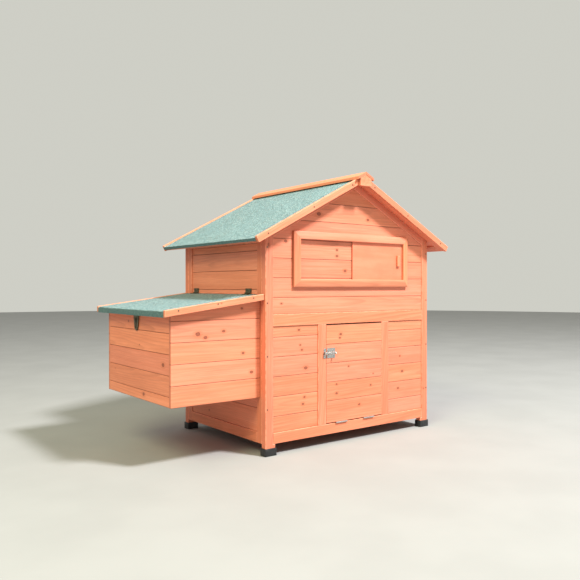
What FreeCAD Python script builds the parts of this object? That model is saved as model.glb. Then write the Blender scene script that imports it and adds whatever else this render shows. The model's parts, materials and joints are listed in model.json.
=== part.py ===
"""Chicken coop: a gabled hen house with a nest box on its left side.

Millimetres, +Z up. The ground is at Z = 0 and the front wall faces -Y. Pieces are drawn about the middle
of the house, and every finished node is then placed at X = house_x, so that the origin lies under the
middle of the whole coop.
"""
import FreeCAD, Part
import Sketcher
import math
import os
import re

DIMENSIONS = {
    # house
    "house_width": 860,
    "house_depth": 596,
    "house_x": 157,
    "slack": 0.4,
    # corner posts and feet
    "post_width": 43,
    "post_depth": 25,
    "post_rebate": 9,
    "rebate_depth": 14,
    "foot_width": 50,
    "foot_depth": 33,
    "foot_height": 28,
    "foot_floor": 6,
    # framing of the wall panels
    "rail_thick": 14,
    "board_recess": 4,
    "board_thick": 9,
    "panel_low": 41,
    "rail_low_top": 80,
    "rail_mid_low": 463.5,
    "rail_mid_top": 507,
    "rake_height": 31,
    "side_stile": 30,
    "side_recess": 1,
    "plate_low": 765,
    "plate_top": 797,
    # door
    "door_left": -145.5,
    "door_right": 150.5,
    "stile_width": 40,
    "door_gap": 0.8,
    "door_low": 83.2,
    "door_top": 459,
    "door_thick": 12,
    "door_batten": 38,
    "door_batten_in": 30,
    "door_batten_short": 12,
    # window
    "cut_left": -10,
    "cut_right": 250,
    "frame_left": -307,
    "frame_right": 299,
    "frame_low": 604.5,
    "frame_top": 812.5,
    "moulding": 30,
    "moulding_thick": 16,
    "track_depth": 7.5,
    "track_width": 8,
    "pane_left": -12,
    "pane_thick": 5,
    "grip_width": 15,
    "grip_thick": 8,
    "grip_height": 45,
    "grip_low": 690,
    "grip_in": 34,
    "wire": 1.2,
    "mesh_lap": 6,
    # nest box
    "nest_reach": 354,
    "nest_half": 262,
    "nest_low": 207,
    "nest_wall": 12,
    "nest_open_low": 237,
    "nest_open_top": 541,
    "nest_batten": 18,
    "nest_floor_lift": 1,
    "nest_sheet_thick": 9,
    "header_top": 578,
    # nest lid, measured downwards from its felt at the wall
    "lid_reach": 388,
    "lid_half": 292,
    "lid_start": 2,
    "lid_top": 579.5,
    "lid_slope": 0.13,
    "lid_felt": 2.2,
    "lid_deck": 9,
    "lid_edge": 11,
    "lid_trim": 12,
    "trim_height": 22,
    "trim_proud": 1.5,
    # roof, measured downwards from the top line of the barge boards
    "roof_run": 505,
    "roof_peak": 1041,
    "roof_slope": 0.51683,
    "barge_drop": 27,
    "barge_thick": 12,
    "felt_drop": 5,
    "felt_thick": 2.5,
    "deck_thick": 11,
    "batten_thick": 7,
    "batten_width": 25,
    "eave_batten": 36,
    "eave_batten_in": 9,
    "roof_front": -351,
    "roof_back": 364,
    "cap_half": 41,
    "cap_thick": 10,
    "cap_end": 365,
    "end_block_half": 29,
    "end_block_drop": 45,
    # inside
    "floor_low": 81,
    "floor_thick": 9,
    "bearer_width": 26,
    "bearer_spread": 360,
    "bearer_lift": 6,
    "perch_x": 240,
    "perch_height": 290,
    "perch_radius": 14,
    "holder_width": 50,
    "holder_thick": 18,
    "holder_height": 38,
    "holder_drop": 24,
    # hardware
    "leaf_thick": 1.2,
    "knuckle": 2.9,
    "hinge_pin": 1.25,
    "pin_clear": 0.05,
    "door_hinge": 57,
    "door_hinge_apart": 73,
    "rail_leaf": 16,
    "door_leaf": 14,
    "leaf_gap": 0.4,
    "door_hinge_y": -301,
    "door_hinge_height": 81.6,
    "lid_hinge": 39,
    "lid_hinge_apart": 195,
    "lid_hinge_shift": 12,
    "lid_knuckle": 3,
    "lid_leaf": 1.5,
    "lid_leaf_reach": 17,
    "knuckle_gap": 0.35,
    "hasp_height": 507.2,
    "hasp_reach": 359.5,
    "hasp_width": 46,
    "hasp_tip": 30,
    "hasp_length": 57,
    "bolt_height": 352,
    "bolt_radius": 4,
    "bolt_travel": 15,
    "bolt_out": 6.4,
    "bolt_plate": 40,
    "bolt_plate_high": 38,
    "bolt_plate_thick": 1.4,
    "bolt_barrel": 37,
    "bolt_length": 40,
    "bolt_slot_in": 14,
    "bolt_slot_high": 5.8,
    "bolt_stem": 2.5,
    "bolt_ball": 3.6,
    "keeper_width": 12,
    "keeper_out": 15,
    "staple_out": 9.5,
    "staple_width": 24,
    "staple_high": 22,
    "screw_head": 2.8,
    "screw_head_thick": 0.8,
    "screw_shank": 1.6,
    "screw_length": 20,
}

doc = FreeCAD.newDocument("chicken_coop")
sheet = doc.addObject("Spreadsheet::Sheet", "dims")
for row, (word, value) in enumerate(DIMENSIONS.items(), 1):
    sheet.set("A%d" % row, str(value))
    sheet.setAlias("A%d" % row, word)
doc.recompute()

nodes = []


def size(word):
    """A driving dimension's value, read from the sheet."""
    return float(sheet.get(word))


def formula(text):
    """The text with the sheet's name before each of its dimensions."""
    return re.sub(r"[a-z][a-z_]*", lambda found: "dims." + found.group()
                  if found.group() in DIMENSIONS else found.group(), str(text))


def bind(item, setting, text):
    item.setExpression(setting, formula(text))


def place(item, corner):
    """Put an item at a corner given as three formulas."""
    for letter, text in zip("xyz", corner):
        bind(item, "Placement.Base." + letter, text)
    return item


def block(name, extent, corner):
    """A box: its three extents and its lowest corner, all as formulas."""
    item = doc.addObject("Part::Box", name)
    for setting, text in zip(("Length", "Width", "Height"), extent):
        bind(item, setting, text)
    return place(item, corner)


AXES = {"X": FreeCAD.Vector(1, 0, 0), "Y": FreeCAD.Vector(0, 1, 0), "Z": FreeCAD.Vector(0, 0, 1)}


def rod(name, radius, length, start, along="Z"):
    """A round bar from a start point along +X, +Y or +Z."""
    item = doc.addObject("Part::Cylinder", name)
    bind(item, "Radius", radius)
    bind(item, "Height", length)
    item.Placement.Rotation = FreeCAD.Rotation(AXES["Z"], AXES[along])
    return place(item, start)


def origin_plane(body, role):
    return next(plane for plane in body.Origin.OriginFeatures if plane.Role == role)


def outline(body, name, plane, corners, start):
    """A closed sketch through the corners, each a pair of formulas, on a plane moved to start."""
    sketch = body.newObject("Sketcher::SketchObject", name)
    sketch.AttachmentSupport = [(origin_plane(body, plane + "_Plane"), "")]
    sketch.MapMode = "FlatFace"
    bind(sketch, "AttachmentOffset.Base.z", "-(%s)" % start if plane == "XZ" else start)
    count = len(corners)
    turns = [math.tau * k / count for k in range(count)]
    ring = [FreeCAD.Vector(100 * math.cos(turn), 100 * math.sin(turn), 0) for turn in turns]
    for k in range(count):
        sketch.addGeometry(Part.LineSegment(ring[k], ring[(k + 1) % count]))
    for k in range(count):
        sketch.addConstraint(Sketcher.Constraint("Coincident", k, 2, (k + 1) % count, 1))
    for k, (across, up) in enumerate(corners):
        for kind, letter, now, text in (("DistanceX", "x", ring[k].x, across),
                                        ("DistanceY", "y", ring[k].y, up)):
            index = sketch.addConstraint(Sketcher.Constraint(kind, k, 1, now))
            sketch.renameConstraint(index, "%s%d" % (letter, k))
            bind(sketch, "Constraints.%s%d" % (letter, k), text)
    return sketch


def prism(name, plane, corners, start, depth):
    """A body padded from an outline: along +Z on XY, +Y on XZ and +X on YZ."""
    body = doc.addObject("PartDesign::Body", name)
    sketch = outline(body, name + "_outline", plane, corners, start)
    pad = body.newObject("PartDesign::Pad", name + "_pad")
    pad.Profile = sketch
    pad.Reversed = plane == "XZ"
    bind(pad, "Length", depth)
    sketch.Visibility = False
    body.Tip = pad
    return body


def cut(name, base, tool):
    item = doc.addObject("Part::Cut", name)
    item.Base = base
    item.Tool = tool
    return item


def common(name, base, tool):
    item = doc.addObject("Part::Common", name)
    item.Base = base
    item.Tool = tool
    return item


def fuse(name, pieces):
    item = doc.addObject("Part::MultiFuse", name)
    item.Shapes = pieces
    item.Refine = True
    return item


def node(label, pieces):
    """A finished node: its separate pieces in one group, moved to the house's place."""
    item = doc.addObject("Part::Compound", label)
    item.Label = label
    item.Links = pieces
    bind(item, "Placement.Base.x", "house_x")
    nodes.append(item)
    return item


JOINT_GAP = 0.9
CHAMFER = 1.0
TONGUE = 3.4
GROOVE = 4.6


def board(name, face, low, high, start, length, tongued=(True, True), thick="board_thick"):
    """One horizontal tongue-and-groove board. face is the wall's plane, its outer surface and the
    direction of its inside; tongued says whether the board joins one below it and one above it."""
    plane, outer, inward = face
    bottom = "(%s)" % low
    top = "(%s) - %g" % (high, JOINT_GAP if tongued[1] else 0)

    def corner(depth, height):
        return ("(%s) + (%g) * (%s)" % (outer, inward, depth), height)

    third = "(%s) / 3" % thick
    points = [corner("0", bottom + " + %g" % CHAMFER), corner(str(CHAMFER), bottom)]
    if tongued[0]:
        points += [corner(third, bottom), corner(third, bottom + " + %g" % GROOVE),
                   corner(third + " * 2.1", bottom + " + %g" % GROOVE), corner(third + " * 2.1", bottom)]
    points += [corner(thick, bottom), corner(thick, top)]
    if tongued[1]:
        points += [corner(third + " * 2", top), corner(third + " * 2", top + " + %g" % TONGUE),
                   corner(third + " * 1.1", top + " + %g" % TONGUE), corner(third + " * 1.1", top)]
    points += [corner(str(CHAMFER), top), corner("0", top + " - %g" % CHAMFER)]
    return prism(name, plane, points, start, length)


def boarding(name, face, joints, start, length, thick="board_thick"):
    """A field of boards between the heights in joints."""
    last = len(joints) - 2
    return [board("%s_board_%d" % (name, k), face, joints[k], joints[k + 1], start, length,
                  (k > 0, k < last), thick) for k in range(last + 1)]


def mirrored(text):
    return "-(%s)" % text


# Heights of the joints between the boards, which run on at one pitch round the house.
PITCH = 71.5
FRONT_JOINTS = [138 + PITCH * k for k in range(13)]
SIDE_JOINTS = [166 + PITCH * k for k in range(9)]
DOOR_JOINTS = [168, 240.5, 313, 385.5]
NEST_SIDE_JOINTS = [278 + PITCH * k for k in range(4)]
NEST_OUTER_JOINTS = [241.5 + 70.3 * k for k in range(4)]
GABLE_BOARDS_BESIDE_WINDOW = (2, 3)
inside_post = "house_width / 2 - post_width + post_rebate"
field_width = "2 * (%s)" % inside_post
front_face = "-house_depth / 2"
back_face = "house_depth / 2"
deck_under = "roof_peak - felt_drop - felt_thick - deck_thick"
FRONT = ("YZ", front_face + " + board_recess", 1)
BACK = ("YZ", back_face + " - board_recess", -1)
side_face = "house_width / 2 - side_recess"


def gable_outline(half, low, drop):
    """A house-end outline: straight up to the roof's underside less drop."""
    peak = "(%s) - (%s)" % (deck_under, drop)
    shoulder = peak + " - roof_slope * (%s)" % half
    return [(mirrored(half), low), (half, low), (half, shoulder), ("0", peak), (mirrored(half), shoulder)]


def make_posts():
    """Four posts, rebated on their inner edge for the wall panels, each with its foot."""
    feet = []
    for end, face, inward in (("front", front_face, 1), ("back", back_face, -1)):
        for side, sign in (("left", -1), ("right", 1)):
            name = "leg_%s_%s" % (end, side)

            def at(across, depth):
                return ("(%d) * (house_width / 2 - (%s))" % (sign, across),
                        "(%s) + (%d) * (%s)" % (face, inward, depth))

            section = [at("0", "0"), at("post_width - post_rebate", "0"),
                       at("post_width - post_rebate", "rebate_depth"), at("post_width", "rebate_depth"),
                       at("post_width", "post_depth"), at("0", "post_depth")]
            shaft = prism(name + "_shaft", "XY", section, "foot_floor",
                          "(%s) - foot_floor" % deck_under)
            under_roof = prism(name + "_slope", "XZ", gable_outline("house_width / 2", "0", "0.3"),
                               "(%s) - 30" % face, "60")
            core = prism(name + "_core", "XY",
                         [at("post_width - post_rebate", "0"), at("post_width", "0"),
                          at("post_width", "rebate_depth"), at("post_width - post_rebate", "rebate_depth")],
                         "foot_floor", "panel_low - foot_floor")
            node(name, [common(name + "_cut", fuse(name + "_whole", [shaft, core]), under_roof)])
            middle_x = "(%d) * (house_width / 2 - post_width / 2)" % sign
            middle_y = "(%s) + (%d) * post_depth / 2" % (face, inward)
            outer = block(name + "_foot_outer", ("foot_width", "foot_depth", "foot_height"),
                          (middle_x + " - foot_width / 2", middle_y + " - foot_depth / 2", "0"))
            socket = block(name + "_foot_socket",
                           ("post_width + slack", "post_depth + slack", "foot_height"),
                           (middle_x + " - (post_width + slack) / 2",
                            middle_y + " - (post_depth + slack) / 2", "foot_floor"))
            feet.append(cut(name + "_foot", outer, socket))
    node("foot_caps", feet)


def rake_rails(end, face, inward):
    """Two sloped rails under the roof, between the posts and the ridge."""
    start = face if inward > 0 else "(%s) - rail_thick" % face
    rails = []
    for side, sign in (("left", -1), ("right", 1)):
        def at(across, drop):
            return ("(%d) * (%s)" % (sign, across),
                    "(%s) - 0.3 - (%s) - roof_slope * (%s)" % (deck_under, drop, across))
        corners = [at("0.1", "0"), at(inside_post, "0"), at(inside_post, "rake_height"),
                   at("0.1", "rake_height")]
        rails.append(prism("%s_rake_%s" % (end, side), "XZ", corners, start, "rail_thick"))
    return rails


def make_front():
    rail_start = "-(%s)" % inside_post
    low_rail = block("front_low_rail", (field_width, "rail_thick", "rail_low_top - panel_low"),
                     (rail_start, front_face, "panel_low"))
    node("front_bottom_rail", [low_rail])
    middle_rail = block("front_mid_rail", (field_width, "rail_thick", "rail_mid_top - rail_mid_low"),
                        (rail_start, front_face, "rail_mid_low"))
    node("front_middle_rail", [middle_rail])
    stile = ("stile_width", "rail_thick", "rail_mid_low - rail_low_top")
    left_stile = "door_left - door_gap - stile_width"
    right_stile = "door_right + door_gap"
    node("front_stiles", [block("front_stile_" + word, stile, (where, front_face, "rail_low_top"))
                          for word, where in (("left", left_stile), ("right", right_stile))])
    node("front_rake_rails", rake_rails("front", front_face, 1))
    low_joints = ["rail_low_top"] + FRONT_JOINTS[:5] + ["rail_mid_low"]
    node("front_left_boards", boarding("front_left", FRONT, low_joints, rail_start,
                                       "(%s) - (%s)" % (left_stile, rail_start)))
    right_start = "(%s) + stile_width" % right_stile
    node("front_right_boards", boarding("front_right", FRONT, low_joints, right_start,
                                        "(%s) - (%s)" % (inside_post, right_start)))
    make_front_gable(rail_start)


def make_front_gable(rail_start):
    """The boards above the middle rail. Two of them stop on each side of the window cut-out."""
    joints = ["rail_mid_top"] + FRONT_JOINTS[6:]
    gable = prism("front_gable", "XZ",
                  gable_outline(inside_post, "rail_mid_top - 5", "rake_height + 0.6"),
                  "(%s) - 5" % front_face, "40")
    boards = []
    for k in range(len(joints) - 1):
        tongued = (k > 0, k < len(joints) - 2)
        spans = [("whole", rail_start, field_width)]
        if k in GABLE_BOARDS_BESIDE_WINDOW:
            spans = [("left", rail_start, "cut_left - (%s)" % rail_start),
                     ("right", "cut_right", "(%s) - cut_right" % inside_post)]
        for word, start, length in spans:
            name = "front_upper_%s_%d" % (word, k)
            whole = board(name, FRONT, joints[k], joints[k + 1], start, length, tongued)
            boards.append(common(name + "_trimmed", whole, gable))
    node("front_upper_boards", boards)


def make_back():
    rail_start = "-(%s)" % inside_post
    rails = [block("back_low_rail", (field_width, "rail_thick", "rail_low_top - panel_low"),
                   (rail_start, back_face + " - rail_thick", "panel_low")),
             block("back_mid_rail", (field_width, "rail_thick", "rail_mid_top - rail_mid_low"),
                   (rail_start, back_face + " - rail_thick", "rail_mid_low"))]
    node("back_rails", rails + rake_rails("back", back_face, -1))
    low = boarding("back_lower", BACK, ["rail_low_top"] + FRONT_JOINTS[:5] + ["rail_mid_low"],
                   rail_start, field_width)
    gable = prism("back_gable", "XZ", gable_outline(inside_post, "rail_mid_top - 5", "rake_height + 0.6"),
                  "(%s) - 35" % back_face, "40")
    high = boarding("back_upper", BACK, ["rail_mid_top"] + FRONT_JOINTS[6:], rail_start, field_width)
    node("back_boards", low + [common(item.Name + "_trimmed", item, gable) for item in high])


def make_sides():
    """The left wall is open to the nest box; the right wall is boarded all the way up."""
    start = "(%s) + post_depth + slack" % front_face
    end = "(%s) - post_depth - slack" % back_face
    full = "(%s) - (%s)" % (end, start)
    inner_start = "(%s) + side_stile" % start
    inner = "(%s) - 2 * side_stile" % full
    nest_levels = [("panel_low", "rail_low_top"), ("nest_low", "nest_open_low"),
                   ("nest_open_top", "header_top"), ("plate_low", "plate_top")]
    plain_levels = [nest_levels[0], nest_levels[3]]
    fields = {"left": [["rail_low_top", SIDE_JOINTS[0], "nest_low"],
                       ["header_top"] + SIDE_JOINTS[6:] + ["plate_low"]],
              "right": [["rail_low_top"] + SIDE_JOINTS + ["plate_low"]]}
    for side, sign, levels in (("left", -1, nest_levels), ("right", 1, plain_levels)):
        outer = "(%d) * (%s)" % (sign, side_face)
        low_x = outer if sign < 0 else "(%s) - rail_thick" % outer
        stiles = [block("%s_stile_%s" % (side, word), ("rail_thick", "side_stile", "plate_top - panel_low"),
                        (low_x, where, "panel_low"))
                  for word, where in (("front", start), ("back", "(%s) - side_stile" % end))]
        rails = [block("%s_rail_%d" % (side, k), ("rail_thick", inner, "(%s) - (%s)" % (top, low)),
                       (low_x, inner_start, low)) for k, (low, top) in enumerate(levels)]
        node(side + "_frame", stiles + rails)
        face = ("XZ", "(%s) - (%d) * (board_recess)" % (outer, sign), -sign)
        boards = []
        for k, joints in enumerate(fields[side]):
            boards += boarding("%s_%d" % (side, k), face, joints, inner_start, inner)
        node(side + "_boards", boards)


def make_inside():
    """Floor panel notched round the posts, its bearers, and the perch on two holders."""
    half_x = "%s - rail_thick - 1" % side_face
    half_y = "house_depth / 2 - rail_thick - 1"
    notch_x = "house_width / 2 - post_width - 1"
    notch_y = "house_depth / 2 - post_depth - 1"
    corners = []
    for sx, sy in ((1, 1), (-1, 1), (-1, -1), (1, -1)):
        turn = [(half_x, notch_y), (notch_x, notch_y), (notch_x, half_y)]
        if sx * sy < 0:
            turn.reverse()
        corners += [("(%d) * (%s)" % (sx, across), "(%d) * (%s)" % (sy, up)) for across, up in turn]
    node("floor_panel", [prism("floor_sheet", "XY", corners, "floor_low", "floor_thick")])
    bearer_depth = "2 * (%s)" % half_y
    bearer = ("bearer_width", bearer_depth, "floor_low - panel_low - bearer_lift")
    node("floor_bearers", [block("bearer_%d" % (side + 1), bearer,
                                 ("(%d) * bearer_spread - bearer_width / 2" % side, "-(%s)" % half_y,
                                  "panel_low + bearer_lift"))
                           for side in (-1, 0, 1)])
    inner_face = "house_depth / 2 - board_recess - board_thick"
    node("perch", [rod("perch_bar", "perch_radius", "2 * (%s) - 2" % inner_face,
                       ("perch_x", "-(%s) + 1" % inner_face, "perch_height"), "Y")])
    holders = []
    for k, where in enumerate(("-(%s)" % inner_face, "(%s) - holder_thick" % inner_face)):
        cheek = block("holder_cheek_%d" % k, ("holder_width", "holder_thick", "holder_height"),
                      ("perch_x - holder_width / 2", where, "perch_height - holder_drop"))
        bore = rod("holder_bore_%d" % k, "perch_radius + 0.1", "40",
                   ("perch_x", "(%s) - 10" % where, "perch_height"), "Y")
        slot = block("holder_slot_%d" % k, ("2 * perch_radius + 0.2", "40", "40"),
                     ("perch_x - perch_radius - 0.1", "(%s) - 10" % where, "perch_height"))
        holders.append(cut("holder_%d" % k, cut("holder_low_%d" % k, cheek, bore), slot))
    node("perch_holders", holders)


def mouldings(inner, face):
    """The four mouldings of the window frame, mitred at the corners."""
    outer = ("frame_left", "frame_right", "frame_low", "frame_top")
    pieces = []
    for side, word in enumerate(("left", "right")):
        corners = [(outer[side], outer[2]), (outer[side], outer[3]), (inner[side], inner[3]),
                   (inner[side], inner[2])]
        pieces.append(prism("moulding_" + word, "XZ", corners, face, "moulding_thick"))
    for side, word in ((2, "bottom"), (3, "top")):
        corners = [(outer[0], outer[side]), (outer[1], outer[side]), (inner[1], inner[side]),
                   (inner[0], inner[side])]
        pieces.append(prism("moulding_" + word, "XZ", corners, face, "moulding_thick"))
    return pieces


def make_window():
    """Four mitred mouldings with a track behind them, in which the panel slides."""
    wall = "%s + board_recess" % front_face
    inner = ("frame_left + moulding", "frame_right - moulding", "frame_low + moulding",
             "frame_top - moulding")
    track = block("window_track",
                  ("(%s) - (%s) + 2 * track_width" % (inner[1], inner[0]), "track_depth + 5",
                   "(%s) - (%s) + 2 * track_width" % (inner[3], inner[2])),
                  ("(%s) - track_width" % inner[0], "(%s) - track_depth" % wall,
                   "(%s) - track_width" % inner[2]))
    node("window_frame", [cut(piece.Name + "_tracked", piece, track)
                          for piece in mouldings(inner, "(%s) - moulding_thick" % wall)])
    pane_right = "%s + track_width - 1" % inner[1]
    pane_low = "%s - track_width + 0.6" % inner[2]
    pane_high = "%s + track_width - 1" % inner[3]
    pane_face = "(%s) - track_depth + 1.4" % wall
    node("window_panel", [block("pane", ("(%s) - pane_left" % pane_right, "pane_thick",
                                         "(%s) - (%s)" % (pane_high, pane_low)),
                                ("pane_left", pane_face, pane_low))])
    node("window_panel_grip", [block("grip", ("grip_width", "grip_thick", "grip_height"),
                                     ("(%s) - grip_in" % inner[1], "(%s) - grip_thick" % pane_face,
                                      "grip_low"))])
    make_mesh(inner, "%s + board_thick" % wall)


MESH_PITCH = 19.4
UPRIGHT_WIRES = 15
LEVEL_WIRES = 9


def make_mesh(inner, back):
    """Upright wires on the back of the wall boards and level wires behind them."""
    low = "%s - mesh_lap" % inner[2]
    high = "%s + mesh_lap" % inner[3]
    wires = [block("wire_up_%d" % k, ("wire", "wire", "(%s) - (%s)" % (high, low)),
                   ("cut_left - mesh_lap + %g" % (MESH_PITCH * k), back, low))
             for k in range(UPRIGHT_WIRES)]
    wires += [block("wire_across_%d" % k, ("cut_right - cut_left + 2 * mesh_lap", "wire", "wire"),
                    ("cut_left - mesh_lap", "%s + wire" % back, "(%s) + %g" % (low, MESH_PITCH * k)))
              for k in range(LEVEL_WIRES)]
    node("window_mesh", wires)


NEST_LEFT = "-(house_width / 2 + nest_reach)"
WALL_LEFT = "-(house_width / 2)"


def lid_line(reach, drop):
    """A point on the lid: reach from the wall outwards, drop below its felt."""
    return ("-(house_width / 2 + (%s))" % reach, "lid_top - lid_slope * (%s) - (%s)" % (reach, drop))


def make_nest():
    under_lid = "lid_felt + lid_deck + 0.6"
    wedge = [(NEST_LEFT + " - 5", "nest_low - 5"), (WALL_LEFT + " + 5", "nest_low - 5"),
             lid_line("-5", under_lid), lid_line("nest_reach + 5", under_lid)]
    side_joints = ["nest_low"] + NEST_SIDE_JOINTS + ["nest_open_top + 30"]
    front_joints = ["nest_low"] + NEST_OUTER_JOINTS + ["nest_open_top"]
    trim = prism("nest_trim", "XZ", wedge, "-nest_half - 5", "2 * nest_half + 10")
    width = "-(%s) + (%s) - 0.2" % (NEST_LEFT, WALL_LEFT)
    walls = []
    for word, sign in (("front", -1), ("back", 1)):
        face = ("YZ", "(%d) * nest_half" % sign, -sign)
        walls += boarding("nest_" + word, face, side_joints, NEST_LEFT, width, "nest_wall")
    node("nest_side_boards", [common(item.Name + "_trimmed", item, trim) for item in walls])
    face = ("XZ", NEST_LEFT, 1)
    outer = boarding("nest_outer", face, front_joints, "-nest_half + nest_wall",
                     "2 * (nest_half - nest_wall)", "nest_wall")
    node("nest_outer_boards", [common(item.Name + "_trimmed", item, trim) for item in outer])
    inner_left = "(%s) + nest_wall" % NEST_LEFT
    inner_width = "(%s) - nest_wall" % width
    inner_half = "nest_half - nest_wall"
    above_floor = "nest_low + nest_floor_lift + nest_sheet_thick"
    node("nest_floor", [block("nest_sheet", (inner_width, "2 * (%s)" % inner_half, "nest_sheet_thick"),
                              (inner_left, "-(%s)" % inner_half, "nest_low + nest_floor_lift"))])
    battens = []
    for sign in (-1, 1):
        for word, where in (("out", inner_left), ("in", "(%s) - nest_batten - slack" % WALL_LEFT)):
            low_y = "-(%s)" % inner_half if sign < 0 else "(%s) - nest_batten" % inner_half
            whole = block("nest_batten_%s_%d" % (word, sign + 1),
                          ("nest_batten", "nest_batten", "nest_open_top - nest_low"),
                          (where, low_y, above_floor))
            battens.append(common("nest_batten_cut_%s_%d" % (word, sign + 1), whole, trim))
    node("nest_corner_battens", battens)
    divider = block("divider_sheet", (inner_width, "nest_sheet_thick", "nest_open_top - nest_low"),
                    (inner_left, "-nest_sheet_thick / 2", above_floor))
    node("nest_divider", [common("divider_cut", divider, trim)])


def lid_slab(name, first, last, top, thick, start, depth):
    """A sloped slab of the lid between two reaches."""
    corners = [lid_line(first, top), lid_line(last, top), lid_line(last, "(%s) + (%s)" % (top, thick)),
               lid_line(first, "(%s) + (%s)" % (top, thick))]
    return prism(name, "XZ", corners, start, depth)


def make_lid():
    deck_half = "lid_half - lid_trim - 0.1"
    deck_width = "2 * (%s)" % deck_half
    deck_start = "-(%s)" % deck_half
    node("lid_deck", [lid_slab("lid_sheet", "lid_start", "lid_reach", "lid_felt", "lid_deck",
                               deck_start, deck_width)])
    edge = lid_slab("lid_edge_bar", "nest_reach + 3", "lid_reach", "lid_felt + lid_deck", "lid_edge",
                    deck_start, deck_width)
    node("lid_edge_batten", [edge])
    skin = "lid_felt + lid_deck + lid_edge"
    felt = [lid_line("lid_start", "0"), lid_line("lid_reach + lid_felt", "0"),
            lid_line("lid_reach + lid_felt", skin), lid_line("lid_reach", skin),
            lid_line("lid_reach", "lid_felt"), lid_line("lid_start", "lid_felt")]
    node("lid_felt_cover", [prism("lid_felt_skin", "XZ", felt, deck_start, deck_width)])
    trims = [lid_slab("lid_trim_" + word, "lid_start", "lid_reach + lid_felt", "-trim_proud", "trim_height",
                      start, "lid_trim")
             for word, start in (("front", "-lid_half"), ("back", "lid_half - lid_trim"))]
    node("lid_end_trims", trims)


# How far a board's square-cut eave end leans back, for each millimetre of its upright thickness.
SQUARE_CUT = "roof_slope / (1 + roof_slope ^ 2)"


def roof_line(sign, across, drop):
    """A point of the roof: across from the ridge, drop below the top line of the barge boards."""
    return ("(%d) * (%s)" % (sign, across), "roof_peak - roof_slope * (%s) - (%s)" % (across, drop))


def roof_slab(name, sign, first, last, top, thick, start, depth):
    """A sloped slab of the roof, cut upright at the ridge and square at the eave."""
    below = "(%s) + (%s)" % (top, thick)
    back = "(%s) * %s" % (thick, SQUARE_CUT)
    corners = [roof_line(sign, first, top), roof_line(sign, last, top),
               roof_line(sign, "(%s) - %s" % (last, back), below), roof_line(sign, first, below)]
    return prism(name, "XZ", corners, start, depth)


def make_roof():
    start = "roof_front + barge_thick"
    depth = "roof_back - roof_front - 2 * barge_thick"
    battens = []
    under = "felt_drop + felt_thick + deck_thick"
    last = "roof_run - eave_batten_in"
    for side, sign in (("left", -1), ("right", 1)):
        node("roof_deck_" + side, [roof_slab("deck_" + side, sign, "0.1", "roof_run - felt_thick",
                                             "felt_drop + felt_thick", "deck_thick", start, depth)])
        lean = "deck_thick * " + SQUARE_CUT
        outer = [roof_line(sign, "0.1", "felt_drop"), roof_line(sign, "roof_run + 1", "felt_drop"),
                 roof_line(sign, "roof_run - %s + 0.6" % lean, under),
                 roof_line(sign, "roof_run - felt_thick - " + lean, under),
                 roof_line(sign, "roof_run - felt_thick", "felt_drop + felt_thick"),
                 roof_line(sign, "0.1", "felt_drop + felt_thick")]
        node("roof_felt_" + side, [prism("felt_" + side, "XZ", outer, start, depth)])
        battens.append(roof_slab("batten_eave_" + side, sign, last + " - eave_batten", last, under,
                                 "batten_thick", "(%s) + batten_width" % start,
                                 "(%s) - 2 * batten_width" % depth))
        for word, where in (("front", start), ("back", "roof_back - barge_thick - batten_width")):
            battens.append(roof_slab("batten_%s_%s" % (word, side), sign, "0.1", last, under,
                                     "batten_thick", where, "batten_width"))
    node("roof_battens", battens)
    for word, where in (("front", "roof_front"), ("back", "roof_back - barge_thick")):
        node("barge_boards_" + word,
             [roof_slab("barge_%s_%d" % (word, sign + 1), sign, "0.1", "roof_run", "0", "barge_drop",
                        where, "barge_thick") for sign in (-1, 1)])
    cap = [roof_line(-1, "cap_half", "0"), roof_line(-1, "0", "0"), roof_line(1, "cap_half", "0"),
           roof_line(1, "cap_half", "-cap_thick"), roof_line(1, "0", "-cap_thick"),
           roof_line(-1, "cap_half", "-cap_thick")]
    node("ridge_cap", [prism("cap", "XZ", cap, "-cap_end", "2 * cap_end")])
    half = "end_block_half"
    low = "roof_peak - end_block_drop"
    end = [(mirrored(half), low), (half, low), roof_line(1, half, "0.2"), ("0", "roof_peak - 0.2"),
           roof_line(-1, half, "0.2")]
    node("ridge_end_blocks", [prism("ridge_block", "XZ", end, "-cap_end + 1", "roof_front + cap_end - 1")])


def turned(plate, face):
    """The rotation that points a leaf's plate and its outer face along two directions of the house."""
    plate = FreeCAD.Vector(*plate)
    face = FreeCAD.Vector(*face)
    pin = plate.cross(face)
    return FreeCAD.Rotation(pin, plate, face, "ZXY")


def hinge_leaf(name, length, spans, knuckle, reach, low, thick, corner, turn=FreeCAD.Rotation()):
    """A hinge leaf in its own frame: the pin lies along X, the plate runs out along Y."""
    pieces = [block(name + "_plate", (length, "(%s) - (%s) - 0.3" % (reach, knuckle), thick),
                    ("-(%s) / 2" % length, "(%s) + 0.3" % knuckle, low))]
    for k, (first, last) in enumerate(spans):
        span = "%s - (%s)" % (last, first)
        pieces.append(rod("%s_knuckle_%d" % (name, k), knuckle, span, (first, "0", "0"), "X"))
        pieces.append(block("%s_tab_%d" % (name, k), (span, "(%s) + 0.3" % knuckle, thick),
                            (first, "0", low)))
    bore = rod(name + "_bore", "hinge_pin + pin_clear", "(%s) + 4" % length,
               ("-(%s) / 2 - 2" % length, "0", "0"), "X")
    leaf = cut(name, fuse(name + "_solid", pieces), bore)
    leaf.Placement.Rotation = turn
    return place(leaf, corner)


def knuckle_spans(length):
    """Two outer knuckle spans for one leaf, and the middle one for the other."""
    third = "(%s) / 6" % length
    outer = [("-(%s) / 2" % length, "-(%s)" % third), (third, "(%s) / 2" % length)]
    middle = [("-(%s) + 0.3" % third, "(%s) - 0.3" % third)]
    return outer, middle


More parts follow.
